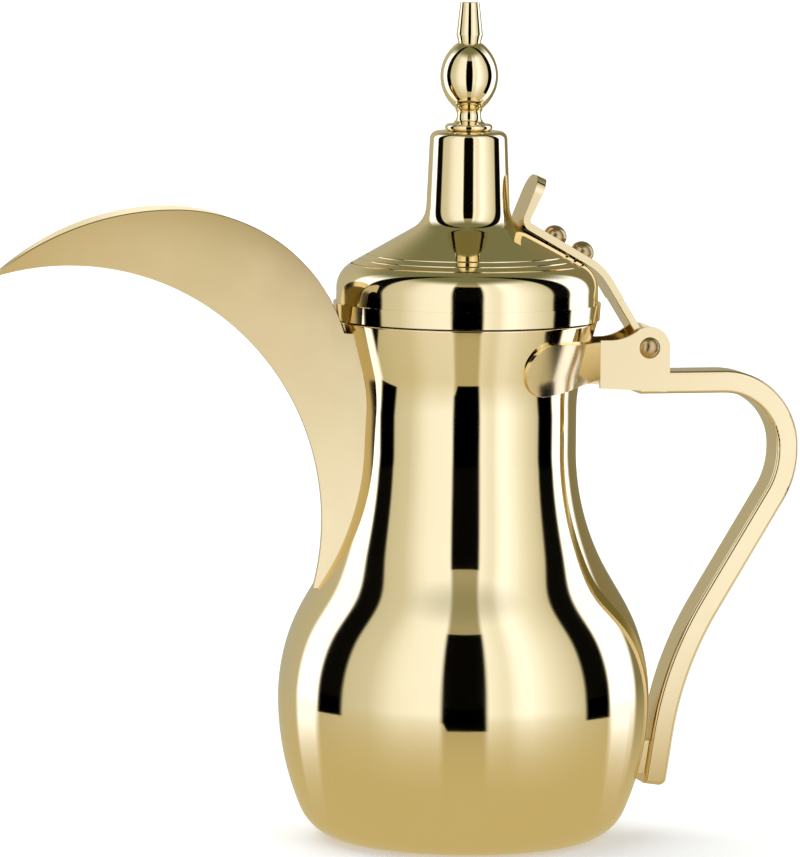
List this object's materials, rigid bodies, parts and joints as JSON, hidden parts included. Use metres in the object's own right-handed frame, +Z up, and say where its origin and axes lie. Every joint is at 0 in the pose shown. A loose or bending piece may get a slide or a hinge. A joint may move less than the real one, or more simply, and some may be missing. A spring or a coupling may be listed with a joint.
{
  "type": "dallah coffee pot",
  "caption": "Gold-finished coffee pot with a round belly, slim neck, curved crescent beak, bent bar handle and a hinged, spired lid with a thumb tab.",
  "frame": {"origin": "centre of the foot on the pot's own upright axis, at the surface the pot stands on", "axes": "+Z up along the pot's axis, +X toward the handle, -X toward the beak's tip, Y across the pot; the XZ plane is the mirror plane"},
  "size_m": [0.2733, 0.1244, 0.28],
  "materials": {
    "gold_finish": "mirror polished, pale gold",
    "plain_steel": "plain satin steel"
  },
  "bodies": {
    "pot": {"pot_bowl": "gold_finish", "pot_shoulder": "gold_finish", "pot_neck": "gold_finish", "base_pan": "gold_finish", "spout_right_wall": "gold_finish", "spout_left_wall": "gold_finish", "bracket_right_cheek": "gold_finish", "bracket_left_cheek": "gold_finish", "handle_bar": "gold_finish", "handle_foot_pad": "gold_finish", "hinge_pin": "gold_finish", "hinge_pin_cap": "gold_finish", "hinge_spacer_right": "plain_steel", "hinge_spacer_left": "plain_steel"},
    "lid": {"lid_shell": "gold_finish", "lid_rim_ring": "gold_finish", "lid_liner": "plain_steel", "hinge_strap": "gold_finish", "hinge_knuckle": "gold_finish", "strap_rivet_upper": "gold_finish", "strap_rivet_lower": "gold_finish", "rivet_washer_upper": "plain_steel", "rivet_washer_lower": "plain_steel", "finial_collar": "gold_finish", "finial_stem": "gold_finish", "finial_egg": "gold_finish", "finial_tip": "gold_finish", "finial_rod": "plain_steel", "finial_washer": "plain_steel", "finial_nut": "plain_steel"}
  },
  "joints": [
    {"name": "lid_hinge", "type": "hinge", "parent": "pot", "child": "lid", "pos_m": [0.061, 0, 0.1648], "axis": [0, 1, 0], "range_deg": [0, 120]}
  ]
}
